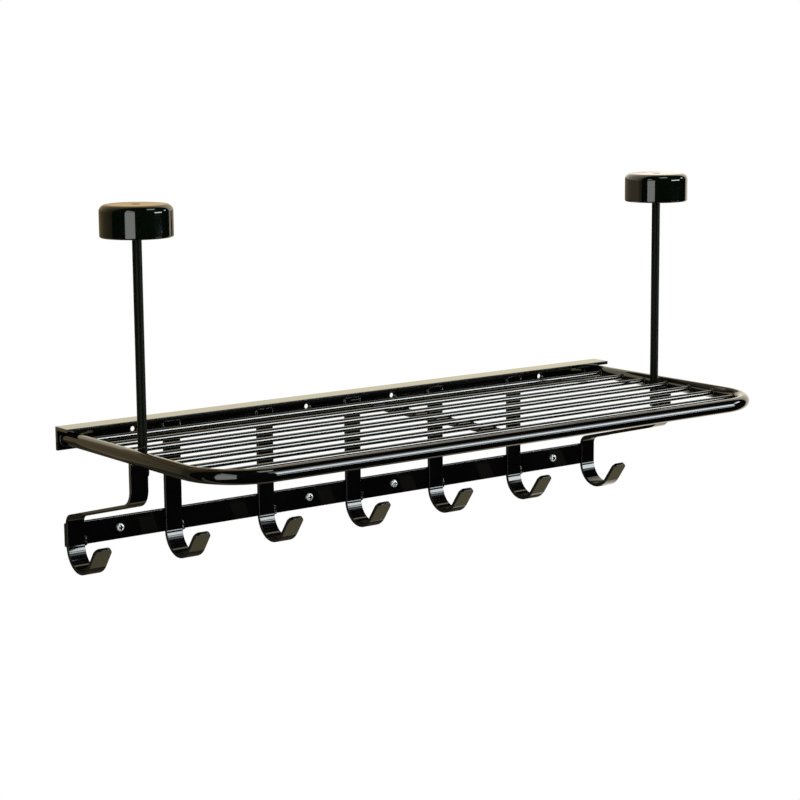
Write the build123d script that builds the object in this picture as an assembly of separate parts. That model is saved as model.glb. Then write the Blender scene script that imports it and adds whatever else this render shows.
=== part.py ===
"""Wall-hung hat and coat rack, welded from steel stock: a rod shelf, seven strap hooks and two hat perches.

X runs along the rack, Y goes into the wall and Z is up. The wall's face is y = 0, and the origin lies
midway between the fixing holes of the wall rail. All sizes are in millimetres.
"""
import os
from math import radians, tan

from build123d import *

os.makedirs("parts", exist_ok=True)

# Clearances: between round welded pieces, round the screws' shanks, and of the posts in the perches
weld_gap = 0.2
shank_clearance = 0.2
bore_clearance = 0.1

# Wall rail: an angle with one leg flat on the wall and the other forward along its top
flat_thickness = 4.0
rail_leg = 25.0
rail_overhang = 11.0
rail_edge_radius = 0.8
rail_hole_diameter = 5.0
rail_countersink_diameter = 9.0
rail_outer_hole_inset = 79.0

# Hat shelf: one bent tube with rods welded across it and a stay below them
shelf_width = 718.0
shelf_depth = 297.0
tube_diameter = 15.0
tube_wall = 1.5
tube_bend_radius = 60.0
tube_head_room = 1.0
rod_diameter = 6.0
rod_pitch = 38.0
stay_width = 20.0
stay_thickness = 4.0
stay_gap = 1.0

# Hook rail: a flat bar on the wall below the shelf, held by pan-head screws
hook_rail_height = 25.0
hook_rail_drop = 102.5
hook_rail_end = 10.0
screw_shank_diameter = 4.2
screw_head_diameter = 8.6
screw_head_height = 2.8
screw_head_radius = 1.9
outer_screw_inset = 54.0

# Hooks: flat straps that are bent forward and up at the foot
hook_count = 7
end_hook_inset = 5.0
strap_width = 20.0
strap_thickness = 4.0
strap_head = 5.0
hook_inner_radius = 23.0
hook_bend_lift = 3.0
hook_tip_angle = 54.0
hook_tip_length = 24.5
hook_tip_corner = 6.0

# End brackets: the two outer hooks' straps go on as struts to the side tubes
bracket_rod = 4
bracket_knee = 7.5
bracket_slope = 14.5
bracket_knee_radius = 8.0
bracket_elbow_radius = 16.0

# Hat perches: turned discs on round posts
post_diameter = 9.5
post_gap = 2.25
post_foot_lift = 8.0
perch_height = 214.0
perch_diameter = 72.0
perch_thickness = 32.0
perch_top_radius = 7.0
perch_foot_radius = 2.0
perch_bore_depth = 18.0
perch_screw_diameter = 4.0
perch_screw_head_diameter = 7.0
perch_screw_head_height = 2.6
perch_screw_grip = 12.0
perch_tapping_run_out = 2.0
perch_recess_diameter = 9.0
perch_recess_depth = 6.0

# Places that follow from the sizes
rail_half = rail_leg / 2
tube_radius = tube_diameter / 2
rod_radius = rod_diameter / 2
post_radius = post_diameter / 2
side_x = shelf_width / 2
shelf_z = rail_half - flat_thickness - tube_head_room - tube_radius
rod_count = int((shelf_depth - rail_leg) / rod_pitch)
end_hook_x = side_x - end_hook_inset
hook_pitch = 2 * end_hook_x / (hook_count - 1)
hook_rail_top = hook_rail_height / 2 - hook_rail_drop
hook_rail_foot = hook_rail_top - hook_rail_height
strap_y = -flat_thickness - strap_thickness / 2
bend_z = hook_rail_foot + hook_bend_lift
upright_y = rod_pitch * bracket_rod - shelf_depth + rod_radius + weld_gap + strap_thickness / 2
knee_z = hook_rail_top + bracket_knee
elbow_z = knee_z + (strap_y - upright_y) * tan(radians(bracket_slope))
elbow_radius = bracket_elbow_radius + strap_thickness / 2
knee_radius = bracket_knee_radius + strap_thickness / 2
upright_foot = elbow_z + elbow_radius * tan(radians((90 - bracket_slope) / 2))
post_x = side_x - tube_radius - post_gap - post_radius
post_y = upright_y + strap_thickness / 2 + weld_gap + post_radius
perch_z = shelf_z + perch_height
post_top = perch_z + perch_bore_depth
perch_top = perch_z + perch_thickness
recess_floor = perch_top - perch_recess_depth


def wall_plane(x: float, y: float, z: float) -> Plane:
    """Return a plane that faces the room, with its origin at the given point."""
    return Plane(origin=(x, y, z), x_dir=(1, 0, 0), z_dir=(0, -1, 0))


def make_wall_rail() -> Part:
    """Make the angle, with its four countersunk fixing holes."""
    t = flat_thickness
    outline = [(0, rail_half), (-rail_leg, rail_half), (-rail_leg, rail_half - t)]
    outline += [(-t, rail_half - t), (-t, -rail_half), (0, -rail_half)]
    outer_hole_x = side_x - rail_outer_hole_inset
    holes = [(x, 0) for x in (-outer_hole_x, -hook_pitch / 2, hook_pitch / 2, outer_hole_x)]
    with BuildPart() as rail:
        with BuildSketch(Plane.YZ):
            with BuildLine():
                Polyline(*outline, close=True)
            make_face()
            fillet(vertices().sort_by_distance((0, -rail_leg, rail_half))[:2], rail_edge_radius)
            fillet(vertices().sort_by_distance((0, -t, rail_half - t))[0], tube_head_room)
        extrude(amount=side_x + rail_overhang, both=True)
        with Locations(wall_plane(0, -t, 0)):
            with Locations(*holes):
                CounterSinkHole(rail_hole_diameter / 2, rail_countersink_diameter / 2)
    return rail.part


def frame_path() -> Wire:
    """Return the centre line of the shelf's bent tube, from one rear end to the other."""
    back = (side_x, -flat_thickness)
    front = (side_x, -shelf_depth)
    with BuildLine(Plane.XY.offset(shelf_z)) as line:
        FilletPolyline((-back[0], back[1]), (-front[0], front[1]), front, back, radius=tube_bend_radius)
    return line.wire()


def make_tube(outer: float, inner: float = 0) -> Part:
    """Sweep a round tube or bar along the shelf's centre line."""
    path = frame_path()
    section = Circle(outer)
    if inner > 0:
        section = section - Circle(inner)
    return sweep(Plane(origin=path @ 0, z_dir=path % 0) * section, path=path)


def make_rod(number: int, envelope: Part) -> Part:
    """Make one shelf rod, its ends coped to the side tubes; rods are counted from the front."""
    y = rod_pitch * number - shelf_depth
    rod = Pos(0, y, shelf_z) * Rot(0, 90, 0) * Cylinder(rod_radius, shelf_width)
    return rod - envelope


def make_stay(envelope: Part) -> Part:
    """Make the flat stay under the rods, from the wall rail to the front tube."""
    x = strap_width / 2 + stay_gap + stay_width / 2
    z = shelf_z - rod_radius - weld_gap - stay_thickness / 2
    length = shelf_depth - flat_thickness
    return Pos(x, -flat_thickness - length / 2, z) * Box(stay_width, length, stay_thickness) - envelope


def screw_places() -> list[float]:
    """Return where the hook rail's screws stand along X."""
    outer = end_hook_x - outer_screw_inset
    return [-outer, -hook_pitch / 2, hook_pitch / 2, outer]


def make_hook_rail() -> Part:
    """Make the flat bar that carries the hooks, drilled for its screws."""
    length = 2 * (end_hook_x + hook_rail_end)
    bar = Pos(0, -flat_thickness / 2, -hook_rail_drop) * Box(length, flat_thickness, hook_rail_height)
    hole = Cylinder(screw_shank_diameter / 2 + shank_clearance, 3 * flat_thickness)
    for x in screw_places():
        bar -= wall_plane(x, 0, -hook_rail_drop) * hole
    return bar


def make_rail_screw(x: float) -> Part:
    """Make a pan-head screw of the hook rail; its shank ends at the wall."""
    low = (Align.CENTER, Align.CENTER, Align.MIN)
    high = (Align.CENTER, Align.CENTER, Align.MAX)
    head = Cylinder(screw_head_diameter / 2, screw_head_height, align=low)
    head = fillet(head.edges().group_by(Axis.Z)[-1], screw_head_radius)
    shank = Cylinder(screw_shank_diameter / 2, flat_thickness, align=high)
    return wall_plane(x, -flat_thickness, -hook_rail_drop) * (head + shank)


def bend_strap(points: list[tuple[float, float]], radii: list[float]) -> Part:
    """Bend one strap: along the points, then round the hook and up to its tip.

    The points are (y, z) corners of the strap's centre line and end where the hook's bend starts. Each
    corner between the first point and the last has its own radius.
    """
    radius = hook_inner_radius + strap_thickness / 2
    with BuildLine(Plane.YZ) as line:
        if radii:
            FilletPolyline(*points, radius=radii)
        else:
            Line(*points)
        bend = JernArc(points[-1], (0, -1), radius, -90 - hook_tip_angle)
        PolarLine(bend @ 1, hook_tip_length, direction=bend % 1)
    path = line.wire()
    start = Plane(origin=path @ 0, x_dir=(1, 0, 0), z_dir=path % 0)
    strap = sweep(start * Rectangle(strap_width, strap_thickness), path=path)
    tip = strap.faces().sort_by_distance(path @ 1)[0]
    return fillet(tip.edges().sort_by(SortBy.LENGTH)[:2], hook_tip_corner)


def make_middle_hook(x: float) -> Part:
    """Make a hook whose strap runs straight up the wall onto the wall rail."""
    return Pos(x, 0, 0) * bend_strap([(strap_y, strap_head), (strap_y, bend_z)], [])


def make_end_hook(envelope: Part) -> Part:
    """Make the right end hook; its strap is bent forward as a strut and cupped round the side tube."""
    points = [(upright_y, shelf_z), (upright_y, elbow_z), (strap_y, knee_z), (strap_y, bend_z)]
    return Pos(end_hook_x, 0, 0) * bend_strap(points, [elbow_radius, knee_radius]) - envelope


def make_post() -> Part:
    """Make the right post, which is welded behind the end bracket and tapped at its top."""
    low = (Align.CENTER, Align.CENTER, Align.MIN)
    foot = upright_foot + post_foot_lift
    post = Pos(post_x, post_y, foot) * Cylinder(post_radius, post_top - foot, align=low)
    depth = perch_screw_grip + perch_tapping_run_out
    high = (Align.CENTER, Align.CENTER, Align.MAX)
    tapping = Cylinder(perch_screw_diameter / 2 + bore_clearance, depth, align=high)
    return post - Pos(post_x, post_y, post_top) * tapping


def make_perch() -> Part:
    """Turn the right perch: a disc with a blind bore for the post and a sunk screw in its top."""
    low = (Align.CENTER, Align.CENTER, Align.MIN)
    high = (Align.CENTER, Align.CENTER, Align.MAX)
    disc = Cylinder(perch_diameter / 2, perch_thickness, align=low)
    disc = fillet(disc.edges().group_by(Axis.Z)[-1], perch_top_radius)
    disc = fillet(disc.edges().group_by(Axis.Z)[0], perch_foot_radius)
    disc -= Cylinder(post_radius + bore_clearance, perch_bore_depth, align=low)
    disc -= Cylinder(perch_screw_diameter / 2 + shank_clearance, perch_thickness, align=low)
    disc -= Pos(0, 0, perch_thickness) * Cylinder(perch_recess_diameter / 2, perch_recess_depth, align=high)
    return Pos(post_x, post_y, perch_z) * disc


def make_perch_screw() -> Part:
    """Make the screw that holds the right perch down on its post."""
    low = (Align.CENTER, Align.CENTER, Align.MIN)
    high = (Align.CENTER, Align.CENTER, Align.MAX)
    head = Cylinder(perch_screw_head_diameter / 2, perch_screw_head_height, align=low)
    head = chamfer(head.edges().group_by(Axis.Z)[-1], perch_screw_head_height / 3)
    shank = Cylinder(perch_screw_diameter / 2, recess_floor - post_top + perch_screw_grip, align=high)
    return Pos(post_x, post_y, recess_floor) * (head + shank)


envelope = make_tube(tube_radius + weld_gap)
nodes: dict[str, Part] = {
    "wall_rail": make_wall_rail(),
    "shelf_frame": make_tube(tube_radius, tube_radius - tube_wall),
    "shelf_stay": make_stay(envelope),
    "hook_rail": make_hook_rail(),
}
for number in range(1, rod_count + 1):
    nodes[f"shelf_rod_{number}"] = make_rod(number, envelope)
for number, x in enumerate(screw_places(), start=1):
    nodes[f"hook_rail_screw_{number}"] = make_rail_screw(x)
for number in range(2, hook_count):
    nodes[f"hook_{number}"] = make_middle_hook((number - 1) * hook_pitch - end_hook_x)
pairs = {
    "end_hook": make_end_hook(envelope),
    "hat_post": make_post(),
    "hat_perch": make_perch(),
    "perch_screw": make_perch_screw(),
}
for name, piece in pairs.items():
    nodes[f"{name}_right"] = piece
    nodes[f"{name}_left"] = mirror(piece, about=Plane.YZ)

for name, piece in nodes.items():
    export_step(piece, f"parts/{name}.step")
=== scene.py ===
"""The looks of a wall-hung hat and coat rack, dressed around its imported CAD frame.

Black stove enamel on welded steel stock, two lacquered turned perches and bright zinc screws. X runs along
the rack, Y goes into the wall and Z is up. The rack's sizes are in millimetres and become metres through MM.
The studio's are in metres.
"""
import logging
import math
from collections.abc import Iterable, Sequence
from dataclasses import dataclass, field
from enum import Enum

import bmesh
import bpy
from mathutils import Matrix, Vector


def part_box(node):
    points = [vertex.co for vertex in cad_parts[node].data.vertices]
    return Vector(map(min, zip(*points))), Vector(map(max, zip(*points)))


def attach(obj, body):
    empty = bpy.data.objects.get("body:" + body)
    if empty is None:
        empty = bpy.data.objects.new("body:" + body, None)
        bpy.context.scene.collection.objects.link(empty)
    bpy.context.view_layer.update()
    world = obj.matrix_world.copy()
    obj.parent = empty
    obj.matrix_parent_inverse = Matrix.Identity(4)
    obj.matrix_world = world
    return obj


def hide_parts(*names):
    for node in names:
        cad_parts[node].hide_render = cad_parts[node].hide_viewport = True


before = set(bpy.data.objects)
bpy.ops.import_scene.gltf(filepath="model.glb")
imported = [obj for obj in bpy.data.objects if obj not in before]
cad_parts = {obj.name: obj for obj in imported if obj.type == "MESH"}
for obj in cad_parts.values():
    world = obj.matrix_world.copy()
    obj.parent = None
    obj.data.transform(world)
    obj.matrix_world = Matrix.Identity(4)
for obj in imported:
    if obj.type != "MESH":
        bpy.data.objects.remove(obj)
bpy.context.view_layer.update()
MM = 0.001
BODY = "root"
MIDDLE_HOOKS = tuple(f"hook_{number}" for number in range(2, 7))
WHITE = "#ffffff"
DARK = "#0b0b0b"
FILM_IOR = 1.52
X, Y, Z = Vector((1, 0, 0)), Vector((0, 1, 0)), Vector((0, 0, 1))
log = logging.getLogger("rack")

# Most values of a noise lie in this span
NOISE_SPAN = (0.3, 0.7)
# The Mix node's sockets for colours
FACTOR, COLOUR_A, COLOUR_B, COLOUR_OUT = 0, 6, 7, 2
# Points nearer than this, in metres, are one point
SAME_POINT = 1e-6
# A fold up to the first angle is flat, one past the second is eased, one up to the third is shaded smooth
FLAT_FOLD, EASED_FOLD, SMOOTH_FOLD = (math.radians(angle) for angle in (0.3, 38, 50))

Point = tuple[float, float, float]
Span = tuple[float, float]
Run = Sequence[Point]
Outline = list[tuple[float, float]]


class Slot(Enum):
    """The record's material slots."""

    ENAMEL = "black_enamel"
    LACQUER = "black_lacquered_wood"
    ZINC = "bright_zinc"


class Side(Enum):
    """The two ends of the rack, as the sign of X."""

    LEFT = -1
    RIGHT = 1

    def node(self, stem: str) -> str:
        """Return the name of a CAD node at this end."""
        return f"{stem}_{self.name.lower()}"


def linear(colour: str) -> tuple[float, float, float, float]:
    """Turn an sRGB hex value to linear RGBA.

    Args:
        colour: The colour as "#rrggbb".

    Returns:
        The linear colour, with an alpha of 1.
    """
    parts = [int(colour[i:i + 2], 16) / 255 for i in (1, 3, 5)]
    red, green, blue = (c / 12.92 if c <= 0.04045 else ((c + 0.055) / 1.055) ** 2.4 for c in parts)
    return red, green, blue, 1.0


def add(tree: bpy.types.NodeTree, kind: str, inputs: dict | Sequence = (),
        **settings: object) -> bpy.types.Node:
    """Add one node with its settings and links.

    Args:
        tree: The shader or geometry tree.
        kind: The node's type name.
        inputs: What the inputs get, by name or number, or in order: a socket to link, a node that is linked
            by its first output, or a value.
        settings: The node's own properties.

    Returns:
        The new node.
    """
    node = tree.nodes.new(kind)
    for key, value in settings.items():
        setattr(node, key, value)
    given = inputs if isinstance(inputs, dict) else dict(enumerate(inputs))
    for key, value in given.items():
        source = value.outputs[0] if isinstance(value, bpy.types.Node) else value
        if isinstance(source, bpy.types.NodeSocket):
            tree.links.new(source, node.inputs[key])
        else:
            node.inputs[key].default_value = source
    return node


def new_material(name: str) -> tuple[bpy.types.Material, bpy.types.NodeTree]:
    """Make an empty node material.

    Args:
        name: The material's name.

    Returns:
        The material and its cleared node tree.
    """
    material = bpy.data.materials.new(name)
    material.use_nodes = True
    material.node_tree.nodes.clear()
    return material, material.node_tree


# Finishes


@dataclass(frozen=True)
class StoveEnamel:
    """Black stove enamel, sprayed and baked: a deep gloss full of reflections, with faint orange peel."""

    name: str = "black_stove_enamel"
    colour: str = "#030303"
    thin_colour: str = "#070706"
    rubbed_colour: str = "#12110f"
    gloss: Span = (0.04, 0.085)
    rubbed_roughness: float = 0.2
    rubbed_span: Span = (0.45, 0.7)
    peel_mm: float = 2.4
    peel_share: float = 0.04
    flow_mm: float = 15.0
    cloud_mm: float = 55.0
    relief_mm: float = 0.016
    specular: float = 0.5

    def build(self) -> bpy.types.Material:
        """Build the material; the face attribute rub is 1 on eased edges, which coats and straps polish.

        Returns:
            The material.
        """
        material, tree = new_material(self.name)
        place = add(tree, "ShaderNodeTexCoord").outputs["Object"]
        sizes = ((self.cloud_mm, 3.0), (self.peel_mm, 1.0), (self.flow_mm, 1.0))
        cloud, peel, flow = (
            add(tree, "ShaderNodeTexNoise", {"Vector": place, "Scale": 1 / (size * MM), "Detail": detail})
            for size, detail in sizes)
        rub = add(tree, "ShaderNodeAttribute", attribute_name="rub").outputs["Fac"]
        patch = add(tree, "ShaderNodeMapRange", (flow, *self.rubbed_span))
        worn = add(tree, "ShaderNodeMath", (rub, patch), operation="MULTIPLY")
        black = add(tree, "ShaderNodeMix", {FACTOR: cloud, COLOUR_A: linear(self.colour),
                                            COLOUR_B: linear(self.thin_colour)}, data_type="RGBA")
        colour = add(tree, "ShaderNodeMix", {FACTOR: worn, COLOUR_A: black.outputs[COLOUR_OUT],
                                             COLOUR_B: linear(self.rubbed_colour)}, data_type="RGBA")
        gloss = add(tree, "ShaderNodeMapRange", (cloud, *NOISE_SPAN, *self.gloss))
        rough = add(tree, "ShaderNodeMix", {"Factor": worn, "A": gloss, "B": self.rubbed_roughness})
        height = add(tree, "ShaderNodeMath", (peel, self.peel_share, flow), operation="MULTIPLY_ADD")
        bump = add(tree, "ShaderNodeBump", {"Strength": 1.0, "Distance": self.relief_mm * MM,
                                            "Height": height})
        shader = add(tree, "ShaderNodeBsdfPrincipled", {
            "Base Color": colour.outputs[COLOUR_OUT], "Roughness": rough, "IOR": FILM_IOR,
            "Specular IOR Level": self.specular, "Normal": bump})
        add(tree, "ShaderNodeOutputMaterial", (shader,))
        return material


@dataclass(frozen=True)
class LacqueredBeech:
    """Beech turned on a lathe and lacquered black: glossy, with tool rings and grain just under the film.

    Real tool rings lie closer together; these are as wide as they need to be to show.
    """

    name: str = "black_lacquered_beech"
    colour: str = "#020602"
    grain_colour: str = "#070b06"
    gloss: Span = (0.035, 0.08)
    ring_mm: float = 2.6
    ring_share: float = 0.02
    grain_mm: float = 1.4
    grain_share: float = 0.05
    grain_stretch: float = 0.08
    flow_mm: float = 18.0
    relief_mm: float = 0.02

    def build(self, axis: Vector) -> bpy.types.Material:
        """Build the material.

        Args:
            axis: A point on the right perch's axis; the left one mirrors it.

        Returns:
            The material, whose rings run round each perch's own axis.
        """
        material, tree = new_material(self.name)
        place = add(tree, "ShaderNodeTexCoord").outputs["Object"]
        split = add(tree, "ShaderNodeSeparateXYZ", (place,)).outputs
        mirrored = add(tree, "ShaderNodeMath", (split["X"],), operation="ABSOLUTE")
        folded = add(tree, "ShaderNodeCombineXYZ", (mirrored, split["Y"]))
        spoke = add(tree, "ShaderNodeVectorMath", (folded, (axis.x, axis.y, 0)), operation="DISTANCE")
        pitch = 2 * math.pi / (self.ring_mm * MM)
        turns = add(tree, "ShaderNodeMath", (spoke.outputs["Value"], pitch), operation="MULTIPLY")
        rings = add(tree, "ShaderNodeMath", (turns,), operation="SINE")
        along = add(tree, "ShaderNodeMapping", {"Vector": place, "Scale": (self.grain_stretch, 1, 1)})
        sizes = ((along, self.grain_mm, 3.0), (place, self.flow_mm, 1.0))
        grain, flow = (
            add(tree, "ShaderNodeTexNoise", {"Vector": vector, "Scale": 1 / (size * MM), "Detail": detail})
            for vector, size, detail in sizes)
        colour = add(tree, "ShaderNodeMix", {FACTOR: grain, COLOUR_A: linear(self.colour),
                                             COLOUR_B: linear(self.grain_colour)}, data_type="RGBA")
        gloss = add(tree, "ShaderNodeMapRange", (flow, *NOISE_SPAN, *self.gloss))
        ringed = add(tree, "ShaderNodeMath", (rings, self.ring_share, flow), operation="MULTIPLY_ADD")
        height = add(tree, "ShaderNodeMath", (grain, self.grain_share, ringed), operation="MULTIPLY_ADD")
        bump = add(tree, "ShaderNodeBump", {"Strength": 1.0, "Distance": self.relief_mm * MM,
                                            "Height": height})
        shader = add(tree, "ShaderNodeBsdfPrincipled", {
            "Base Color": colour.outputs[COLOUR_OUT], "Roughness": gloss, "IOR": FILM_IOR, "Normal": bump})
        add(tree, "ShaderNodeOutputMaterial", (shader,))
        return material


@dataclass(frozen=True)
class BrightZinc:
    """Steel with bright zinc plating: a cool silver metal, slightly clouded, with fine tumbling marks.

    Real tumbling marks are finer; these are as coarse as they need to be to show.
    """

    name: str = "bright_zinc_plate"
    colour: str = "#f0f4f5"
    cloud_colour: str = "#d2d8da"
    # Painted shade: the colour that the cross recess takes in place of the shade that falls there
    painted_recess_shade_colour: str = "#39403e"
    gloss: Span = (0.5, 0.65)
    metallic: float = 0.85
    cloud_mm: float = 2.0
    mark_mm: float = 0.5
    relief_mm: float = 0.012

    def build(self) -> bpy.types.Material:
        """Build the material; the face attribute recess is 1 in the cross, where painted shade darkens the
        plating.

        Returns:
            The material.
        """
        material, tree = new_material(self.name)
        place = add(tree, "ShaderNodeTexCoord").outputs["Object"]
        cloud, mark = (
            add(tree, "ShaderNodeTexNoise", {"Vector": place, "Scale": 1 / (size * MM), "Detail": 2.0})
            for size in (self.cloud_mm, self.mark_mm))
        # Painted shade: faces in the cross recess take a dark colour that stands in for the shade there
        recess = add(tree, "ShaderNodeAttribute", attribute_name="recess").outputs["Fac"]
        bright = add(tree, "ShaderNodeMix", {FACTOR: cloud, COLOUR_A: linear(self.colour),
                                             COLOUR_B: linear(self.cloud_colour)}, data_type="RGBA")
        colour = add(tree, "ShaderNodeMix", {FACTOR: recess, COLOUR_A: bright.outputs[COLOUR_OUT],
                                             COLOUR_B: linear(self.painted_recess_shade_colour)}, data_type="RGBA")
        gloss = add(tree, "ShaderNodeMapRange", (cloud, *NOISE_SPAN, *self.gloss))
        bump = add(tree, "ShaderNodeBump", {"Strength": 1.0, "Distance": self.relief_mm * MM,
                                            "Height": mark})
        shader = add(tree, "ShaderNodeBsdfPrincipled", {
            "Base Color": colour.outputs[COLOUR_OUT], "Metallic": self.metallic, "Roughness": gloss,
            "Normal": bump})
        add(tree, "ShaderNodeOutputMaterial", (shader,))
        return material


# Places and lines


def middle(node: str) -> Vector:
    """Return the middle of a CAD node's box."""
    low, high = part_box(node)
    return (low + high) / 2


def half(node: str) -> Vector:
    """Return half the size of a CAD node's box."""
    low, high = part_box(node)
    return (high - low) / 2


def arc(centre: Vector, u: Vector, v: Vector, radius: float, span: Span, steps: int = 24) -> Run:
    """Return the points of an arc.

    Args:
        centre: The arc's centre.
        u: The direction of angle 0.
        v: The direction of angle 90.
        radius: The arc's radius, in metres.
        span: Where it starts and ends, in degrees.
        steps: How many runs it has.

    Returns:
        The points.
    """
    start, end = span
    angles = [math.radians(start + (end - start) * i / steps) for i in range(steps + 1)]
    return [tuple(centre + radius * (math.cos(a) * u + math.sin(a) * v)) for a in angles]


def quarter(across: float, height: float, radius: float, start: float, steps: int = 6) -> Outline:
    """Return a quarter round of an outline.

    Args:
        across: The centre's distance from the axis, in metres.
        height: The centre's height, in metres.
        radius: The radius, in metres.
        start: Where it starts, in degrees; it goes on clockwise.
        steps: How many runs it has.

    Returns:
        The corners.
    """
    angles = [math.radians(start - 90 * i / steps) for i in range(steps + 1)]
    return [(across + radius * math.cos(a), height + radius * math.sin(a)) for a in angles]


# Meshes


def new_piece(name: str, mesh: bpy.types.Mesh) -> bpy.types.Object:
    """Put a mesh into the scene as an object at the origin.

    Args:
        name: The piece's name.
        mesh: Its mesh.

    Returns:
        The piece.
    """
    piece = bpy.data.objects.new(name, mesh)
    bpy.context.scene.collection.objects.link(piece)
    return piece


def edge_mesh(name: str, runs: Iterable[Run]) -> bpy.types.Mesh:
    """Make a mesh of open edge chains.

    Args:
        name: The mesh's name.
        runs: The chains' points, in metres; a run of one point stays a point.

    Returns:
        The mesh, without faces.
    """
    points: list[Point] = []
    edges: list[tuple[int, int]] = []
    for run in runs:
        first = len(points)
        points += run
        edges += [(i, i + 1) for i in range(first, len(points) - 1)]
    mesh = bpy.data.meshes.new(name)
    mesh.from_pydata(points, edges, [])
    return mesh


def turned_mesh(name: str, outline: Outline, steps: int) -> bpy.types.Mesh:
    """Turn an outline round the Z axis, as a lathe does.

    Args:
        name: The mesh's name.
        outline: Radius and height of each corner, in metres: from the axis at the top to the axis at the
            foot, or all round a section clear of the axis, with its first corner again at the end.
        steps: How many faces go round.

    Returns:
        The closed mesh, its faces pointing outwards.
    """
    bm = bmesh.new()
    rings = []
    for radius, height in outline:
        count = steps if radius > 0 else 1
        angles = [2 * math.pi * i / steps for i in range(count)]
        rings.append([bm.verts.new((radius * math.cos(a), radius * math.sin(a), height)) for a in angles])
    for upper, lower in zip(rings, rings[1:]):
        for i in range(steps):
            corners = [upper[i % len(upper)], lower[i % len(lower)]]
            corners += [lower[(i + 1) % len(lower)], upper[(i + 1) % len(upper)]]
            bm.faces.new(dict.fromkeys(corners))
    bmesh.ops.remove_doubles(bm, verts=bm.verts, dist=SAME_POINT)
    bmesh.ops.recalc_face_normals(bm, faces=bm.faces)
    mesh = bpy.data.meshes.new(name)
    bm.to_mesh(mesh)
    bm.free()
    return mesh


def make_plain(piece: bpy.types.Object) -> bpy.types.Object:
    """Turn a piece's modifiers into a plain mesh and remove them.

    Args:
        piece: The piece with its modifiers.

    Returns:
        The same piece.
    """
    graph = bpy.context.evaluated_depsgraph_get()
    mesh = bpy.data.meshes.new_from_object(piece.evaluated_get(graph), preserve_all_data_layers=True,
                                           depsgraph=graph)
    piece.modifiers.clear()
    piece.data = mesh
    mesh.name = piece.name
    return piece


def keep_flats(piece: bpy.types.Object) -> bpy.types.Object:
    """Weigh a piece's normals by its faces, so that flat faces stay flat beside rounded edges.

    Args:
        piece: The piece, shaded smooth.

    Returns:
        The same piece.
    """
    even = piece.modifiers.new("flat faces stay flat", "WEIGHTED_NORMAL")
    even.mode = "FACE_AREA"
    even.weight = 100
    even.keep_sharp = True
    return make_plain(piece)


def eased_copy(name: str, node: str, radius: float, steps: int = 3) -> bpy.types.Object:
    """Copy a CAD node and ease its outer edges, as rolled and deburred stock has them.

    Args:
        name: The new piece's name.
        node: The CAD node, whose form is kept.
        radius: How far the easing reaches from an edge, in metres.
        steps: How many faces go round an edge.

    Returns:
        The new piece, with the face attribute rub on the eased edges.
    """
    bm = bmesh.new()
    bm.from_mesh(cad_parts[node].data)
    bmesh.ops.remove_doubles(bm, verts=bm.verts, dist=SAME_POINT)
    bmesh.ops.dissolve_limit(bm, angle_limit=FLAT_FOLD, verts=bm.verts, edges=bm.edges)
    edges = [e for e in bm.edges if e.is_manifold and e.is_convex and e.calc_face_angle() > EASED_FOLD]
    rub = bm.faces.layers.float.new("rub")
    eased = bmesh.ops.bevel(bm, geom=edges, offset=radius, segments=steps, profile=0.5, affect="EDGES",
                            clamp_overlap=False, miter_outer="SHARP")
    for face in eased["faces"]:
        face[rub] = 1.0
    for face in bm.faces:
        face.smooth = True
    mesh = bpy.data.meshes.new(name)
    bm.to_mesh(mesh)
    bm.free()
    return keep_flats(new_piece(name, mesh))


def turned_piece(name: str, outline: Outline, place: Point, steps: int = 128) -> bpy.types.Object:
    """Turn a piece and set it in its place.

    Args:
        name: The new piece's name.
        outline: Its outline, as turned_mesh takes it.
        place: Where the outline's origin goes, in metres.
        steps: How many faces go round.

    Returns:
        The new piece, smooth where it is round and flat where it is flat.
    """
    mesh = turned_mesh(name, outline, steps)
    mesh.transform(Matrix.Translation(place))
    mesh.shade_smooth()
    mesh.set_sharp_from_angle(angle=SMOOTH_FOLD)
    return keep_flats(new_piece(name, mesh))


# Geometry trees


def new_tree(name: str, inputs: dict[str, str]) -> tuple[bpy.types.NodeTree, bpy.types.NodeOutputs]:
    """Start a geometry tree with named inputs.

    Args:
        name: The tree's name.
        inputs: Each input's name and socket type, after the geometry.

    Returns:
        The tree and the sockets that give its inputs.
    """
    tree = bpy.data.node_groups.new(name, "GeometryNodeTree")
    tree.interface.new_socket("Geometry", in_out="OUTPUT", socket_type="NodeSocketGeometry")
    tree.interface.new_socket("Geometry", in_out="INPUT", socket_type="NodeSocketGeometry")
    for label, kind in inputs.items():
        tree.interface.new_socket(label, in_out="INPUT", socket_type=f"NodeSocket{kind}")
    return tree, add(tree, "NodeGroupInput").outputs


def end_tree(tree: bpy.types.NodeTree, given: bpy.types.NodeOutputs, made: bpy.types.Node) -> None:
    """End a geometry tree: smooth faces, real geometry and the finish.

    Args:
        tree: The tree.
        given: Its inputs, with a Material among them.
        made: The node that gives the finished geometry.
    """
    smooth = add(tree, "GeometryNodeSetShadeSmooth", (made,))
    real = add(tree, "GeometryNodeRealizeInstances", (smooth,))
    dressed = add(tree, "GeometryNodeSetMaterial", {"Geometry": real, "Material": given["Material"]})
    add(tree, "NodeGroupOutput", (dressed,))


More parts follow.
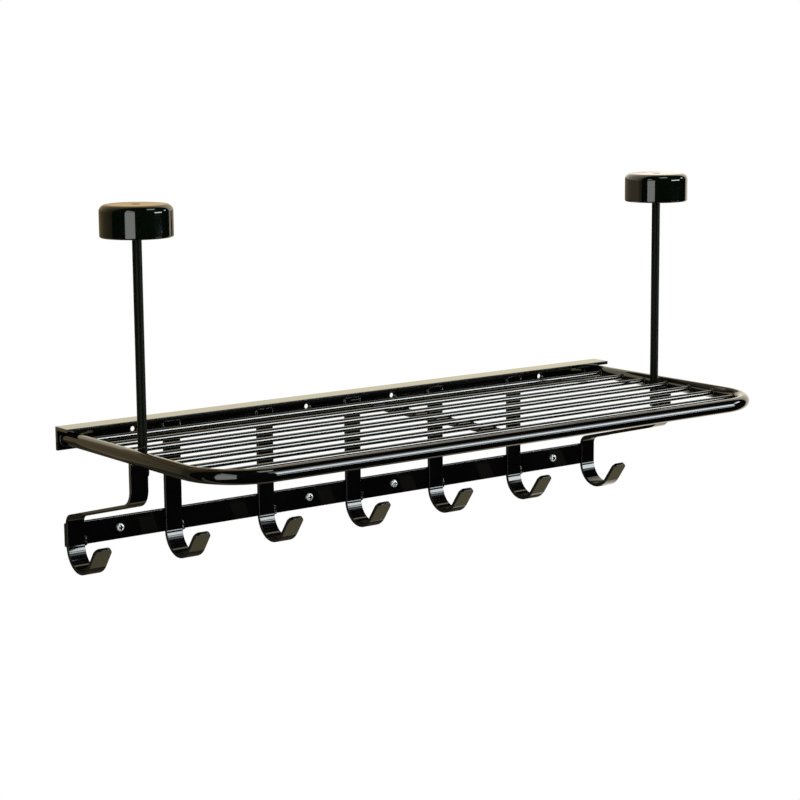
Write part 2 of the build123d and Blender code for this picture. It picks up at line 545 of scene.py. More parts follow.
def grow(name: str, tree: bpy.types.NodeTree, start: bpy.types.Mesh, values: dict[str, object],
         wall: float = 0.0) -> bpy.types.Object:
    """Run a geometry tree on a start mesh and keep the result as a plain mesh.

    Args:
        name: The new piece's name.
        tree: The geometry tree.
        start: The mesh that the tree starts from.
        values: The tree's inputs by name.
        wall: A wall thickness to give the result, inwards, in metres; 0 for none.

    Returns:
        The new piece.
    """
    piece = bpy.data.objects.new(name, start)
    modifier = piece.modifiers.new(tree.name, "NODES")
    modifier.node_group = tree
    for item in tree.interface.items_tree:
        if item.in_out == "INPUT" and item.name in values:
            modifier[item.identifier] = values[item.name]
    if wall > 0:
        shell = piece.modifiers.new("wall", "SOLIDIFY")
        shell.thickness = wall
        shell.offset = -1.0
    bpy.context.scene.collection.objects.link(piece)
    make_plain(piece).data.set_sharp_from_angle(angle=SMOOTH_FOLD)
    return piece


def bar_tree() -> bpy.types.NodeTree:
    """Build the tree that gives straight runs a round section: the shelf's rods.

    Returns:
        The tree.
    """
    tree, given = new_tree("round_bars", {"Bar Radius": "Float", "Steps Round": "Int",
                                          "Material": "Material"})
    line = add(tree, "GeometryNodeMeshToCurve", (given["Geometry"],))
    section = add(tree, "GeometryNodeCurvePrimitiveCircle", {"Resolution": given["Steps Round"],
                                                             "Radius": given["Bar Radius"]})
    bar = add(tree, "GeometryNodeCurveToMesh", {"Curve": line, "Profile Curve": section, "Fill Caps": True})
    end_tree(tree, given, bar)
    return tree


def tube_tree() -> bpy.types.NodeTree:
    """Build the tree that bends a tube along a run of corners, all with one bend radius.

    Returns:
        The tree.
    """
    tree, given = new_tree("bent_tube", {"Tube Radius": "Float", "Bend Radius": "Float",
                                         "Steps Round": "Int", "Steps In Bend": "Int",
                                         "Material": "Material"})
    line = add(tree, "GeometryNodeMeshToCurve", (given["Geometry"],))
    bent = add(tree, "GeometryNodeFilletCurve", {"Curve": line, "Count": given["Steps In Bend"],
                                                 "Radius": given["Bend Radius"]}, mode="POLY")
    section = add(tree, "GeometryNodeCurvePrimitiveCircle", {"Resolution": given["Steps Round"],
                                                             "Radius": given["Tube Radius"]})
    tube = add(tree, "GeometryNodeCurveToMesh", {"Curve": bent, "Profile Curve": section})
    end_tree(tree, given, tube)
    return tree


def weld_tree() -> bpy.types.NodeTree:
    """Build the tree that lays a rippled weld bead along each run, thinner where it starts and stops.

    Returns:
        The tree.
    """
    step_share, end_power, end_loss, sides = 0.4, 5.0, 0.65, 12
    tree, given = new_tree("weld_beads", {"Bead Radius": "Float", "Ripple": "Float", "Unevenness": "Float",
                                          "Seed": "Int", "Material": "Material"})
    line = add(tree, "GeometryNodeMeshToCurve", (given["Geometry"],))
    step = add(tree, "ShaderNodeMath", (given["Ripple"], step_share), operation="MULTIPLY")
    runs = add(tree, "GeometryNodeResampleCurve", {"Curve": line, "Length": step}, mode="LENGTH")
    place = add(tree, "GeometryNodeInputPosition")
    pitch = add(tree, "ShaderNodeMath", (1.0, given["Ripple"]), operation="DIVIDE")
    noise = add(tree, "ShaderNodeTexNoise", {"Vector": place, "W": given["Seed"], "Scale": pitch,
                                             "Detail": 1.0}, noise_dimensions="4D")
    swing = add(tree, "ShaderNodeMath", (noise, 0.5), operation="SUBTRACT")
    lumps = add(tree, "ShaderNodeMath", (swing, given["Unevenness"], 1.0), operation="MULTIPLY_ADD")
    along = add(tree, "GeometryNodeSplineParameter")
    centred = add(tree, "ShaderNodeMath", (along, 2.0, -1.0), operation="MULTIPLY_ADD")
    away = add(tree, "ShaderNodeMath", (centred,), operation="ABSOLUTE")
    steep = add(tree, "ShaderNodeMath", (away, end_power), operation="POWER")
    taper = add(tree, "ShaderNodeMath", (steep, -end_loss, 1.0), operation="MULTIPLY_ADD")
    width = add(tree, "ShaderNodeMath", (lumps, taper), operation="MULTIPLY")
    section = add(tree, "GeometryNodeCurvePrimitiveCircle", {"Resolution": sides,
                                                             "Radius": given["Bead Radius"]})
    bead = add(tree, "GeometryNodeCurveToMesh", {"Curve": runs, "Profile Curve": section, "Scale": width,
                                                 "Fill Caps": True})
    end_tree(tree, given, bead)
    return tree


def screw_tree() -> bpy.types.NodeTree:
    """Build the tree that cuts a cross recess into a screw and sets one at each point, turned at random.

    Returns:
        The tree.
    """
    block_share, cone_share, cone_over, cone_sides = 2.0, 1.7, 0.2, 12
    tree, given = new_tree("cross_head_screws", {
        "Screw": "Object", "Recess Span": "Float", "Recess Width": "Float", "Recess Depth": "Float",
        "Top": "Float", "Lean": "Vector", "Seed": "Int", "Material": "Material"})
    screw = add(tree, "GeometryNodeObjectInfo", (given["Screw"],))
    span, width, depth = (given[f"Recess {part}"] for part in ("Span", "Width", "Depth"))
    deep = add(tree, "ShaderNodeMath", (depth, block_share), operation="MULTIPLY")
    seat = add(tree, "ShaderNodeCombineXYZ", {"Z": given["Top"]})
    cutters = []
    for across, along in ((span, width), (width, span)):
        size = add(tree, "ShaderNodeCombineXYZ", (across, along, deep))
        block = add(tree, "GeometryNodeMeshCube", {"Size": size})
        cutters.append(add(tree, "GeometryNodeTransform", {"Geometry": block, "Translation": seat}))
    reach = add(tree, "ShaderNodeMath", (depth, cone_share), operation="MULTIPLY")
    cone = add(tree, "GeometryNodeMeshCone", {"Vertices": cone_sides, "Radius Top": 0.0,
                                              "Radius Bottom": width, "Depth": reach})
    over = add(tree, "ShaderNodeMath", (depth, cone_over, given["Top"]), operation="MULTIPLY_ADD")
    rise = add(tree, "ShaderNodeCombineXYZ", {"Z": over})
    cutters.append(add(tree, "GeometryNodeTransform", {"Geometry": cone, "Translation": rise,
                                                       "Rotation": (math.pi, 0, 0)}))
    cut = add(tree, "GeometryNodeMeshBoolean", {"Mesh 1": screw.outputs["Geometry"]}, operation="DIFFERENCE",
              solver="MANIFOLD")
    # Each cutter marks its faces with recess, where the zinc finish paints shade into the cross
    for cutter in cutters:
        marked = add(tree, "GeometryNodeStoreNamedAttribute",
                     {"Geometry": cutter, "Name": "recess", "Value": 1.0}, data_type="FLOAT", domain="FACE")
        tree.links.new(marked.outputs[0], cut.inputs["Mesh 2"])
    # Inputs 2 and 3 are the least and the greatest number
    turn = add(tree, "FunctionNodeRandomValue", {2: 0.0, 3: math.pi, "Seed": given["Seed"]},
               data_type="FLOAT")
    spin = add(tree, "ShaderNodeCombineXYZ", {"Z": turn.outputs[1]})
    lean = add(tree, "FunctionNodeEulerToRotation", (given["Lean"],))
    own = add(tree, "FunctionNodeEulerToRotation", (spin,))
    stand = add(tree, "FunctionNodeRotateRotation", (lean, own), rotation_space="LOCAL")
    screws = add(tree, "GeometryNodeInstanceOnPoints", {"Points": given["Geometry"], "Instance": cut,
                                                        "Rotation": stand})
    end_tree(tree, given, screws)
    return tree


@dataclass
class Workshop:
    """The finishes and geometry trees that the sub-assemblies share, and how welds look."""

    enamel: bpy.types.Material
    satin: bpy.types.Material
    drawn: bpy.types.Material
    lacquer: bpy.types.Material
    zinc: bpy.types.Material
    bars: bpy.types.NodeTree = field(default_factory=bar_tree)
    tubes: bpy.types.NodeTree = field(default_factory=tube_tree)
    welds: bpy.types.NodeTree = field(default_factory=weld_tree)
    screws: bpy.types.NodeTree = field(default_factory=screw_tree)
    ripple: float = 1.5 * MM
    unevenness: float = 0.9

    def material(self, slot: Slot) -> bpy.types.Material:
        """Return the finish of a slot."""
        return {Slot.ENAMEL: self.enamel, Slot.LACQUER: self.lacquer, Slot.ZINC: self.zinc}[slot]

    def fit(self, piece: bpy.types.Object, slot: Slot, *nodes: str,
            finish: bpy.types.Material | None = None) -> None:
        """Fix a new piece to the rack.

        Args:
            piece: The finished piece.
            slot: The record's slot that it takes.
            nodes: The CAD nodes that it stands for.
            finish: A finish of its own in place of the slot's.
        """
        piece.data.materials.clear()
        piece.data.materials.append(finish or self.material(slot))
        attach(piece, BODY)
        if nodes:
            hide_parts(*nodes)
        log.info("%s: %d faces, for %s", piece.name, len(piece.data.polygons), ", ".join(nodes) or "no node")

    def weld(self, name: str, runs: Sequence[Run], radius: float, seed: int) -> None:
        """Lay enamelled weld beads.

        Args:
            name: The piece's name.
            runs: The beads' centre lines, in metres.
            radius: The beads' radius, in metres.
            seed: The seed of their ripples.
        """
        values = {"Bead Radius": radius, "Ripple": self.ripple, "Unevenness": self.unevenness, "Seed": seed,
                  "Material": self.enamel}
        self.fit(grow(name, self.welds, edge_mesh(name, runs), values), Slot.ENAMEL)


# Sub-assemblies


@dataclass
class WallRail:
    """The angle on the wall, with the welds that hold the side tubes and the straps' heads to it.

    Each point of strap_tack says how far it lies in front of the strap's back and below its head.
    """

    edge: float = 0.5 * MM
    bead: float = 1.9 * MM
    tube_back: float = 0.4 * MM
    tube_out: float = 0.3 * MM
    tube_arc: Span = (-35, 215)
    strap_out: float = 0.4 * MM
    strap_tack: tuple[Span, ...] = ((2.0 * MM, 8.0 * MM), (1.3 * MM, 4.0 * MM), (0.6 * MM, 0.5 * MM))

    def build(self, shop: Workshop) -> None:
        """Build the angle and its welds."""
        shop.fit(eased_copy("wall_angle", "wall_rail", self.edge), Slot.ENAMEL, "wall_rail")
        shop.weld("wall_angle_welds", [*self.tube_runs(), *self.strap_runs()], self.bead, seed=3)

    def tube_runs(self) -> list[Run]:
        """Lay out the beads round the side tubes' ends, open at the top, where the angle covers them.

        Returns:
            The beads' centre lines, in metres.
        """
        high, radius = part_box("shelf_frame")[1], half("shelf_frame").z
        ends = [Vector((side.value * (high.x - radius), high.y - self.tube_back, 0)) for side in Side]
        return [arc(end, X, -Z, radius + self.tube_out, self.tube_arc) for end in ends]

    def strap_runs(self) -> list[Run]:
        """Lay out the tack beads on both sides of each strap's head.

        Returns:
            The beads' centre lines, in metres.
        """
        runs = []
        for node in MIDDLE_HOOKS:
            low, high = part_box(node)
            for x in (low.x - self.strap_out, high.x + self.strap_out):
                runs.append([(x, high.y - ahead, high.z - below) for ahead, below in self.strap_tack])
        return runs


@dataclass
class HatShelf:
    """The bent tube with its rods and the stay below them."""

    wall: float = 1.5 * MM
    bend: float = 60 * MM
    tube_steps: int = 48
    bend_steps: int = 28
    rod_count: int = 7
    rod_sink: float = 0.5 * MM
    rod_steps: int = 28
    edge: float = 0.5 * MM
    bead: float = 1.15 * MM
    bead_in: float = 0.3 * MM
    bead_out: float = 0.3 * MM
    bead_arc: Span = (12, 348)
    tack_half: float = 2.2 * MM

    def build(self, shop: Workshop) -> None:
        """Build the tube, the rods, the stay and their welds.

        Args:
            shop: The finishes and trees.
        """
        low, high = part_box("shelf_frame")
        radius = half("shelf_frame").z
        side, front, z = high.x - radius, low.y + radius, middle("shelf_frame").z
        corners = [(-side, high.y, z), (-side, front, z), (side, front, z), (side, high.y, z)]
        values = {"Tube Radius": radius, "Bend Radius": self.bend, "Steps Round": self.tube_steps,
                  "Steps In Bend": self.bend_steps, "Material": shop.enamel}
        tube = grow("shelf_tube", shop.tubes, edge_mesh("shelf_tube", [corners]), values, self.wall)
        shop.fit(tube, Slot.ENAMEL, "shelf_frame")
        self.build_rods(shop)
        shop.fit(eased_copy("shelf_strip", "shelf_stay", self.edge), Slot.ENAMEL, "shelf_stay")
        shop.weld("shelf_welds", [*self.rod_runs(), *self.stay_runs()], self.bead, seed=11)

    def rods(self) -> list[str]:
        """Return the rods' node names."""
        return [f"shelf_rod_{number}" for number in range(1, self.rod_count + 1)]

    def build_rods(self, shop: Workshop) -> None:
        """Build the rods, their ends sunk into the side tubes' walls.

        Args:
            shop: The finishes and trees.
        """
        nodes = self.rods()
        axes = []
        for node in nodes:
            _, y, z = middle(node)
            reach = half(node).x + self.rod_sink
            axes.append([(-reach, y, z), (reach, y, z)])
        values = {"Bar Radius": half(nodes[0]).z, "Steps Round": self.rod_steps, "Material": shop.drawn}
        rods = grow("shelf_rods", shop.bars, edge_mesh("shelf_rods", axes), values)
        shop.fit(rods, Slot.ENAMEL, *nodes, finish=shop.drawn)

    def rod_runs(self) -> list[Run]:
        """Lay out the beads round the rods' ends, each started below.

        Returns:
            The beads' centre lines, in metres.
        """
        runs = []
        for node in self.rods():
            _, y, z = middle(node)
            size = half(node)
            for side in Side:
                end = Vector((side.value * (size.x - self.bead_in), y, z))
                runs.append(arc(end, -Z, Y, size.z + self.bead_out, self.bead_arc))
        return runs

    def stay_runs(self) -> list[Run]:
        """Lay out the tack beads where the rods cross the stay.

        Returns:
            The beads' centre lines, in metres.
        """
        low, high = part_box("shelf_stay")
        runs = []
        for node in self.rods():
            y = middle(node).y
            for x in (low.x, high.x):
                runs.append([(x, y + along, high.z) for along in (-self.tack_half, 0.0, self.tack_half)])
        return runs


@dataclass
class HookRail:
    """The flat bar below the shelf and its four cross-head screws."""

    edge: float = 1.0 * MM
    screw_count: int = 4
    head_radius: float = 4.3 * MM
    head_height: float = 2.8 * MM
    head_round: float = 1.9 * MM
    shank_radius: float = 2.1 * MM
    recess_span: float = 5.4 * MM
    recess_width: float = 1.7 * MM
    recess_depth: float = 1.7 * MM

    def build(self, shop: Workshop) -> None:
        """Build the bar and its screws.

        Args:
            shop: The finishes and trees.
        """
        shop.fit(eased_copy("hook_bar", "hook_rail", self.edge), Slot.ENAMEL, "hook_rail")
        nodes = [f"hook_rail_screw_{number}" for number in range(1, self.screw_count + 1)]
        seats = []
        for node in nodes:
            x, _, z = middle(node)
            seats.append([(x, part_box(node)[0].y + self.head_height, z)])
        shank = 2 * half(nodes[0]).y - self.head_height
        build_screws(shop, "hook_bar_screws", seats, self.outline(shank), (math.pi / 2, 0, 0),
                     (self.recess_span, self.recess_width, self.recess_depth), nodes)

    def outline(self, shank: float) -> Outline:
        """Draw a pan-head screw, from the top of its head to the end of its shank.

        Args:
            shank: The shank's length, in metres.

        Returns:
            The outline's corners.
        """
        inner, spring = self.head_radius - self.head_round, self.head_height - self.head_round
        foot = [(self.head_radius, 0), (self.shank_radius, 0), (self.shank_radius, -shank), (0, -shank)]
        return [(0, self.head_height), *quarter(inner, spring, self.head_round, 90), *foot]


def build_screws(shop: Workshop, name: str, seats: list[Run], outline: Outline, lean: Point,
                 recess: tuple[float, float, float], nodes: Sequence[str]) -> None:
    """Build a set of equal cross-head screws.

    Args:
        shop: The finishes and trees.
        name: The piece's name.
        seats: A run of one point under each head.
        outline: The screw's outline, from the top of its head to the end of its shank.
        lean: How the screw's axis leans from upright, in radians.
        recess: The cross recess's span, width and depth.
        nodes: The CAD nodes that the screws stand for.
    """
    sides, seed, smooth_fold = 40, 5, math.radians(32)
    span, width, depth = recess
    pattern = bpy.data.objects.new(f"{name}_pattern", turned_mesh(f"{name}_pattern", outline, sides))
    values = {"Screw": pattern, "Recess Span": span, "Recess Width": width, "Recess Depth": depth,
              "Top": outline[0][1], "Lean": lean, "Seed": seed, "Material": shop.zinc}
    screws = grow(name, shop.screws, edge_mesh(name, seats), values)
    screws.data.set_sharp_from_angle(angle=smooth_fold)
    bpy.data.objects.remove(pattern)
    shop.fit(screws, Slot.ZINC, *nodes)


@dataclass
class CoatHooks:
    """Seven bent straps: five straight ones and the two end brackets, with the tacks on the hook rail.

    bead_out and bead_ahead are shares of the bead's radius.
    """

    edge: float = 0.6 * MM
    bead: float = 3.4 * MM
    bead_out: float = 1 / 3
    bead_ahead: float = 1 / 8
    tack: float = 4.6 * MM
    tack_lean: float = 1.1 * MM
    tack_lifts: tuple[float, ...] = (-1.0 * MM, 4.4 * MM)

    def build(self, shop: Workshop) -> None:
        """Build the straps and their tacks.

        Args:
            shop: The finishes and trees.
        """
        for node in MIDDLE_HOOKS:
            shop.fit(eased_copy(f"coat_{node}", node, self.edge), Slot.ENAMEL, node)
        for side in Side:
            node = side.node("end_hook")
            shop.fit(eased_copy(side.node("bracket"), node, self.edge), Slot.ENAMEL, node)
        shop.weld("hook_bar_welds", self.tack_runs(), self.bead, seed=7)

    def tack_runs(self) -> list[Run]:
        """Lay out the tacks at each strap's right edge, low on the hook rail, where the rail goes on.

        Returns:
            The beads' centre lines, in metres.
        """
        rail_low, rail_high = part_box("hook_rail")
        y, lean = rail_low.y - self.bead_ahead * self.bead, self.tack_lean / 2
        runs = []
        for node in (Side.LEFT.node("end_hook"), *MIDDLE_HOOKS, Side.RIGHT.node("end_hook")):
            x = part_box(node)[1].x + self.bead_out * self.bead
            if x + self.bead < rail_high.x:
                for lift in self.tack_lifts:
                    foot = rail_low.z + lift
                    head = foot + self.tack
                    runs.append([(x, y - lean, foot), (x, y, (foot + head) / 2), (x, y + lean, head)])
        return runs


@dataclass
class HatPerches:
    """The two posts with their turned discs, the screws that hold these, and the welds at the posts' feet.

    Welds: a pair of seams joins each post to the bracket in front of it, a bead lies on the side tube
    beside the post, its points given along Y and in height, and a wrap rises from there round its front.
    seam_ahead, seam_across and wrap_turn are shares of the post's radius.
    """

    bead: float = 1.4 * MM
    post_edge: float = 0.5 * MM
    tapping_radius: float = 2.1 * MM
    tapping_depth: float = 14 * MM
    shoulder: float = 7 * MM
    shoulder_steps: int = 12
    heel: float = 2 * MM
    bore_radius: float = 4.85 * MM
    bore_depth: float = 18 * MM
    screw_hole_radius: float = 2.2 * MM
    sink_radius: float = 4.5 * MM
    sink_depth: float = 6 * MM
    sink_edge: float = 0.5 * MM
    recess_span: float = 3.8 * MM
    recess_width: float = 0.95 * MM
    recess_depth: float = 1.3 * MM
    head_height: float = 2.6 * MM
    head_radius: float = 3.5 * MM
    head_chamfer: float = 2.6 / 3 * MM
    shank_radius: float = 2.0 * MM
    seam_ahead: float = 0.86
    seam_across: float = 0.62
    seam_rises: tuple[float, ...] = (4 * MM, 12 * MM, 22 * MM)
    tube_bead_out: float = 1.0 * MM
    tube_bead: tuple[Span, ...] = ((-3 * MM, 3.4 * MM), (0.0, 3.8 * MM), (3 * MM, 3.4 * MM))
    wrap_ahead: float = 1.0 * MM
    wrap_turn: float = 0.75
    wrap_rises: tuple[float, float, float] = (5 * MM, 6.5 * MM, 8.5 * MM)

    def build(self, shop: Workshop) -> None:
        """Build posts, discs, screws and welds.

        Args:
            shop: The finishes and trees.
        """
        for side in Side:
            self.build_post(shop, side)
            self.build_disc(shop, side)
        nodes = [side.node("perch_screw") for side in Side]
        seats = []
        for node in nodes:
            x, y, _ = self.axis(node)
            seats.append([(x, y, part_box(node)[1].z - self.head_height)])
        shank = 2 * half(nodes[0]).z - self.head_height
        build_screws(shop, "perch_screws", seats, self.screw_outline(shank), (0, 0, 0),
                     (self.recess_span, self.recess_width, self.recess_depth), nodes)
        shop.weld("post_welds", self.foot_runs(), self.bead, seed=19)

    def screw_outline(self, shank: float) -> Outline:
        """Draw a cheese-head screw, from the top of its head to the end of its shank.

        Args:
            shank: The shank's length, in metres.

        Returns:
            The outline's corners.
        """
        face, rim = self.head_radius - self.head_chamfer, self.head_height - self.head_chamfer
        head = [(0, self.head_height), (face, self.head_height), (self.head_radius, rim),
                (self.head_radius, 0)]
        return [*head, (self.shank_radius, 0), (self.shank_radius, -shank), (0, -shank)]

    def build_post(self, shop: Workshop, side: Side) -> None:
        """Build one post: a round bar with eased ends, tapped at its top.

        Args:
            shop: The finishes and trees.
            side: The end of the rack.
        """
        node = side.node("hat_post")
        foot, top = (corner.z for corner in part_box(node))
        radius, edge, floor = half(node).x, self.post_edge, top - self.tapping_depth
        tapping = [(0, floor), (self.tapping_radius, floor), (self.tapping_radius, top)]
        bar = [(radius - edge, top), (radius, top - edge), (radius, foot + edge), (radius - edge, foot)]
        post = turned_piece(f"perch_{node}", [*tapping, *bar, (0, foot)], self.axis(node))
        shop.fit(post, Slot.ENAMEL, node, finish=shop.satin)

    def build_disc(self, shop: Workshop, side: Side) -> None:
        """Turn one disc: a rounded shoulder, a blind bore for the post and a sunk seat for the screw.

        Args:
            shop: The finishes and trees.
            side: The end of the rack.
        """
        node = side.node("hat_perch")
        foot, top = (corner.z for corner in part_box(node))
        radius = half(node).x
        seat, bore_end = top - self.sink_depth, foot + self.bore_depth
        rim = (self.sink_radius + self.sink_edge, top)
        outside = [*quarter(radius - self.shoulder, top - self.shoulder, self.shoulder, 90,
                            self.shoulder_steps),
                   *quarter(radius - self.heel, foot + self.heel, self.heel, 0)]
        inside = [(self.bore_radius, foot), (self.bore_radius, bore_end), (self.screw_hole_radius, bore_end),
                  (self.screw_hole_radius, seat), (self.sink_radius, seat),
                  (self.sink_radius, top - self.sink_edge)]
        disc = turned_piece(f"turned_{node}", [rim, *outside, *inside, rim], self.axis(node))
        shop.fit(disc, Slot.LACQUER, node)

    def axis(self, node: str) -> Point:
        """Return where a node's upright axis stands."""
        x, y, _ = middle(node)
        return x, y, 0.0

    def foot_runs(self) -> list[Run]:
        """Lay out the seams, the beads on the side tubes and the wraps.

        Returns:
            The beads' centre lines, in metres.
        """
        runs = []
        for side in Side:
            node = side.node("hat_post")
            x, y, _ = self.axis(node)
            foot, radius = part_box(node)[0].z, half(node).x
            for across in (-self.seam_across, self.seam_across):
                line, ahead = x + across * radius, y - self.seam_ahead * radius
                runs.append([(line, ahead, foot + rise) for rise in self.seam_rises])
            out, turn = x + side.value * (radius + self.tube_bead_out), self.wrap_turn * radius
            runs.append([(out, y + along, height) for along, height in self.tube_bead])
            start, corner, end = self.wrap_rises
            runs.append([(out, y - self.wrap_ahead, start), (x + side.value * turn, y - turn, corner),
                         (x, y - radius, end)])
        return runs


# Studio


@dataclass(frozen=True)
class SoftBox:
    """A soft studio lamp: a plain glowing rectangle."""

    name: str
    centre: Point
    target: Point
    size: Span
    radiance: float
    colour: str
    in_gloss: bool = True

    def build(self) -> None:
        """Hang the lamp; Cycles gives a rectangle of P watts a radiance of P / 4A."""
        lamp = bpy.data.lights.new(self.name, "AREA")
        lamp.shape = "RECTANGLE"
        lamp.size, lamp.size_y = self.size
        lamp.energy = 4 * self.size[0] * self.size[1] * self.radiance
        lamp.color = linear(self.colour)[:3]
        hung = bpy.data.objects.new(self.name, lamp)
        hung.location = self.centre
        hung.rotation_euler = (Vector(self.target) - Vector(self.centre)).to_track_quat("-Z", "Y").to_euler()
        hung.visible_camera = False
        hung.visible_glossy = self.in_gloss
        bpy.context.scene.collection.objects.link(hung)


@dataclass(frozen=True)
class Board:
    """A flat reflector or flag of the studio, between two corners, which shows only in the gloss."""

    name: str
    low: Point
    high: Point
    radiance: float = 1.0
    colour: str = DARK
    right_colour: str = ""
    fade: Span = (0.0, 1.0)

    def corners(self) -> list[Point]:
        """Work out the corners from the lowest and the highest one.

        Returns:
            The four corners in order.
        """
        (x0, y0, z0), (x1, y1, z1) = self.low, self.high
        if z0 == z1:
            return [(x0, y0, z0), (x1, y0, z0), (x1, y1, z0), (x0, y1, z0)]
        return [(x0, y0, z0), (x1, y1, z0), (x1, y1, z1), (x0, y0, z1)]

    def build(self) -> None:
        """Set up the board; where it has a right colour, it fades to that from left to right."""
        mesh = bpy.data.meshes.new(self.name)
        mesh.from_pydata(self.corners(), [], [(0, 1, 2, 3)])
        material, tree = new_material(self.name)
        place = add(tree, "ShaderNodeTexCoord").outputs["Object"]
        across = add(tree, "ShaderNodeSeparateXYZ", (place,)).outputs["X"]
        share = add(tree, "ShaderNodeMapRange", (across, *self.fade))
        left, right = linear(self.colour), linear(self.right_colour or self.colour)
        colour = add(tree, "ShaderNodeMix", {FACTOR: share, COLOUR_A: left, COLOUR_B: right},
                     data_type="RGBA")
        glow = add(tree, "ShaderNodeEmission", (colour.outputs[COLOUR_OUT], self.radiance))
        add(tree, "ShaderNodeOutputMaterial", (glow,))
        mesh.materials.append(material)
        board = new_piece(self.name, mesh)
        board.visible_camera = board.visible_diffuse = board.visible_shadow = False
        board.visible_transmission = board.visible_volume_scatter = False


def dark_room(low: Point, high: Point) -> list[Board]:
    """Return the dark boards that close the studio on its six sides.

    Args:
        low: The room's lowest corner.
        high: The room's highest corner.

    Returns:
        The boards.
    """
    boards = []
    for axis, names in enumerate((("left", "right"), ("front", "back"), ("floor", "ceiling"))):
        for name, level in zip(names, (low[axis], high[axis])):
            foot, head = list(low), list(high)
            foot[axis] = head[axis] = level
            boards.append(Board(f"dark_{name}", tuple(foot), tuple(head)))
    return boards


@dataclass
class Studio:
    """The pale floor, the soft lamps, the boards that show in the gloss, and the camera.

    Boards just behind the rack and below it give the gloss its warm tones, and those in front and at the
    right give its bright windows. The perch flag keeps the front window off the perches' flat tops. Dark
    boards all round keep the rest of the gloss black.
    """

    floor_z: float = -1.6
    floor_reach: float = 40.0
    floor_colour: str = "#f2f2f0"
    floor_fade: Span = (0.9, 2.2)
    floor_white: Span = (0.4, 1.0)
    fill: float = 0.15
    camera_at: Point = (-1.3975, -1.9592, 0.4015)
    camera_yaw: float = 36.872
    camera_pitch: float = 9.476
    camera_roll: float = 0.455
    camera_sight: float = 200.0
    focal_pixels: float = 2165.59
    picture_pixels: float = 800.0
    lamps: tuple[SoftBox, ...] = (
        SoftBox("ceiling_panel", (0.32, -1.0, 1.7), (0.32, -1.0, 0.0), (0.65, 0.6), 3.6, "#eef2f2"),
        SoftBox("front_lamp", (1.65, -2.5, 0.73), (1.65, 0.0, 0.73), (1.4, 1.06), 7.0, "#e4f0f6", False),
        SoftBox("left_window_low", (-1.28, -1.095, 0.125), (-0.28, -1.255, 0.125), (1.12, 1.25), 3.1,
                "#eef3ee"),
        SoftBox("left_window_high", (-1.28, -1.095, 1.075), (-0.28, -1.255, 1.075), (1.12, 0.45), 3.1,
                "#eef3ee"),
        SoftBox("plain_overhead", (0.0, -1.2, 2.3), (0.0, -0.3, 0.0), (4.0, 3.0), 1.2, WHITE, False),
    )
    boards: tuple[Board, ...] = (
        Board("tan_wall", (-0.85, 0.03, -1.5), (-0.2, 0.03, 0.95), 1.4, "#70705a", "#d0b488",
              (-0.62, -0.25)),
        Board("cream_wall", (-0.2, 0.03, -1.5), (6, 0.03, 0.95), 1.55, "#d0b488", "#fff6e4", (-0.2, 0.2)),
        Board("cream_strip", (-0.38, 0.027, 0), (0.5, 0.027, 0.1), 1.5, "#fbf2d4"),
        Board("shelf_shade", (-0.4, 0.025, -1.5), (0.42, 0.025, -0.01), 1.0, "#5b5645"),
        Board("bracket_shade", (-0.65, 0.025, -1.5), (-0.4, 0.025, -0.09), 1.0, "#5b5645"),
        Board("side_shade", (0.1, 0.026, 0.1), (0.42, 0.026, 0.19), 1.0, "#4a4636"),
        Board("left_perch_shade", (-0.85, 0.0265, 0.12), (-0.12, 0.0265, 0.257), 0.75, "#77725b", "#c0a67c",
              (-0.85, -0.25)),
        Board("right_perch_shade", (-0.12, 0.0265, 0.12), (0.6, 0.0265, 0.257), 0.9, "#d0c4aa", "#a0907c",
              (0.0, 0.4)),
        Board("front_window", (0.95, -2.5, 0.2), (3.2, -2.5, 1.26), 15.0, "#eaf1f2"),
        Board("window_head", (0.6, -2.5, 1.3), (3.2, -2.5, 2.3), 2.2, "#e4f0f6"),
        Board("window_low", (0.95, -2.5, -0.36), (3.0, -2.5, -0.2), 13.0, "#e4f0f6"),
        Board("right_head", (3.4, -2.2, 1.25), (3.4, -0.9, 1.75), 12.0, "#eaf1f2"),
        Board("cream_ledge", (-6, -0.17, -0.7), (6, -0.04, -0.7), 0.9, "#e0d4a8"),
        Board("perch_flag", (-0.45, -0.3, 0.272), (0.9, -0.3, 0.375)),
        *dark_room((-6, -6, -1.5), (6, 0.04, 2.4)),
    )

    def build(self) -> None:
        """Build the studio."""
        bpy.context.scene.view_settings.view_transform = "Standard"
        self.build_world()
        self.build_floor()
        for item in (*self.lamps, *self.boards):
            item.build()
            log.info("%s: studio", item.name)
        self.build_camera()

    def seen(self, tree: bpy.types.NodeTree) -> bpy.types.Node:
        """Pick out the rays that see the background: straight, mirrored or through glass.

        Args:
            tree: The shader tree.

        Returns:
            A node that gives 1 for these rays and 0 for the others.
        """
        path = add(tree, "ShaderNodeLightPath").outputs
        first = add(tree, "ShaderNodeMath", (path["Is Camera Ray"], path["Is Glossy Ray"]),
                    operation="MAXIMUM")
        return add(tree, "ShaderNodeMath", (first, path["Is Transmission Ray"]), operation="MAXIMUM")

    def build_world(self) -> None:
        """Make the world white where it is seen and a plain fill light elsewhere."""
        world = bpy.data.worlds.new("studio_white")
        world.use_nodes = True
        tree = world.node_tree
        tree.nodes.clear()
        fill, white = (add(tree, "ShaderNodeBackground", (linear(WHITE), level))
                       for level in (self.fill, 1.0))
        mix = add(tree, "ShaderNodeMixShader", (self.seen(tree), fill, white))
        add(tree, "ShaderNodeOutputWorld", (mix,))
        bpy.context.scene.world = world

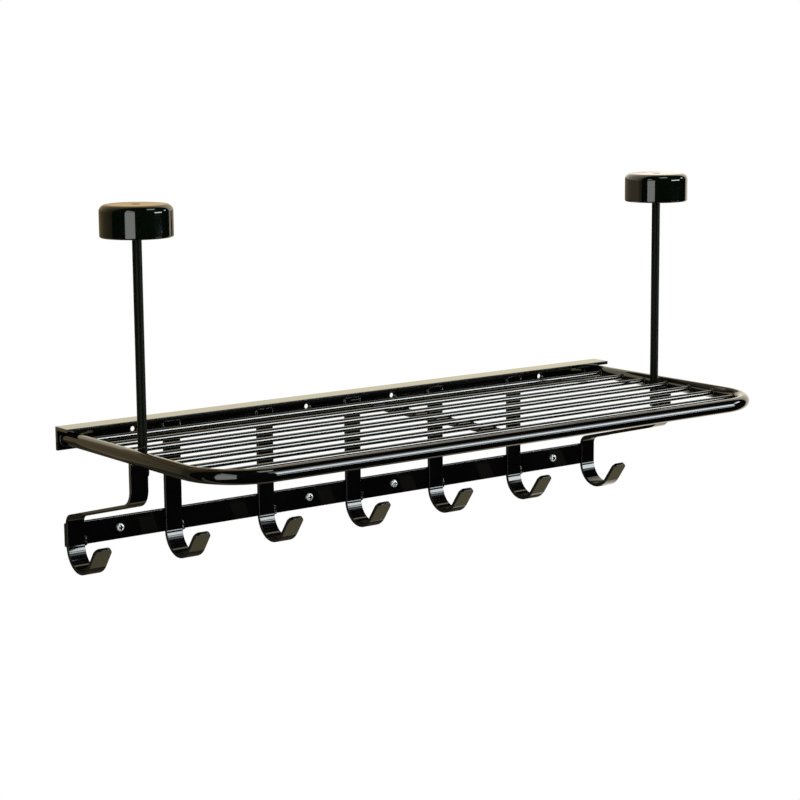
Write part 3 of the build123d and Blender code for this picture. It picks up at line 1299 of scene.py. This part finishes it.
    def build_floor(self) -> None:
        """Lay the pale floor, far below, as under a rack on its wall; it keeps the shadow."""
        r = self.floor_reach
        mesh = bpy.data.meshes.new("floor")
        mesh.from_pydata([(-r, -r, 0), (r, -r, 0), (r, r, 0), (-r, r, 0)], [], [(0, 1, 2, 3)])
        material, tree = new_material("pale_floor")
        matt = add(tree, "ShaderNodeBsdfDiffuse", (linear(self.floor_colour),))
        place = add(tree, "ShaderNodeTexCoord").outputs["Object"]
        away = add(tree, "ShaderNodeVectorMath", (place,), operation="LENGTH").outputs["Value"]
        white = add(tree, "ShaderNodeMapRange", (away, *self.floor_fade, *self.floor_white))
        share = add(tree, "ShaderNodeMath", (self.seen(tree), white), operation="MULTIPLY")
        glow = add(tree, "ShaderNodeEmission", (linear(WHITE), 1.0))
        both = add(tree, "ShaderNodeMixShader", (share, matt, glow))
        add(tree, "ShaderNodeOutputMaterial", (both,))
        mesh.materials.append(material)
        floor = new_piece("floor", mesh)
        floor.location.z = self.floor_z

    def build_camera(self) -> None:
        """Set up the camera at the photograph's viewing angle."""
        yaw, pitch, roll = (math.radians(a) for a in (self.camera_yaw, self.camera_pitch, self.camera_roll))
        ahead = Vector((math.sin(yaw) * math.cos(pitch), math.cos(yaw) * math.cos(pitch), -math.sin(pitch)))
        level = Vector((math.cos(yaw), -math.sin(yaw), 0))
        down = ahead.cross(level)
        right = math.cos(roll) * level + math.sin(roll) * down
        up = math.sin(roll) * level - math.cos(roll) * down
        lens = bpy.data.cameras.new("camera")
        lens.lens = self.focal_pixels * lens.sensor_width / self.picture_pixels
        lens.clip_end = self.camera_sight
        camera = bpy.data.objects.new("camera", lens)
        turn = Matrix((right, up, -ahead)).transposed().to_4x4()
        camera.matrix_world = Matrix.Translation(self.camera_at) @ turn
        bpy.context.scene.collection.objects.link(camera)
        bpy.context.scene.camera = camera


def main() -> None:
    """Build the rack and its studio in order."""
    logging.basicConfig(level=logging.INFO, format="%(name)s %(message)s")
    # The posts' thinner coat dried satin, so they stay dark and show hardly any reflection
    satin = StoveEnamel(name="satin_stove_enamel", colour="#080c06", thin_colour="#0b0f08", gloss=(0.3, 0.4),
                        specular=0.05)
    # Drawn rod keeps fine die lines under its coat, which spread the light to a soft line along each rod
    drawn = StoveEnamel(name="drawn_rod_enamel", gloss=(0.1, 0.16), specular=1.0)
    shop = Workshop(StoveEnamel().build(), satin.build(), drawn.build(),
                    LacqueredBeech().build(middle(Side.RIGHT.node("hat_post"))), BrightZinc().build())
    for assembly in (WallRail(), HatShelf(), HookRail(), CoatHooks(), HatPerches()):
        assembly.build(shop)
        log.info("%s built", type(assembly).__name__)
    Studio().build()


if __name__ == "__main__":
    main()
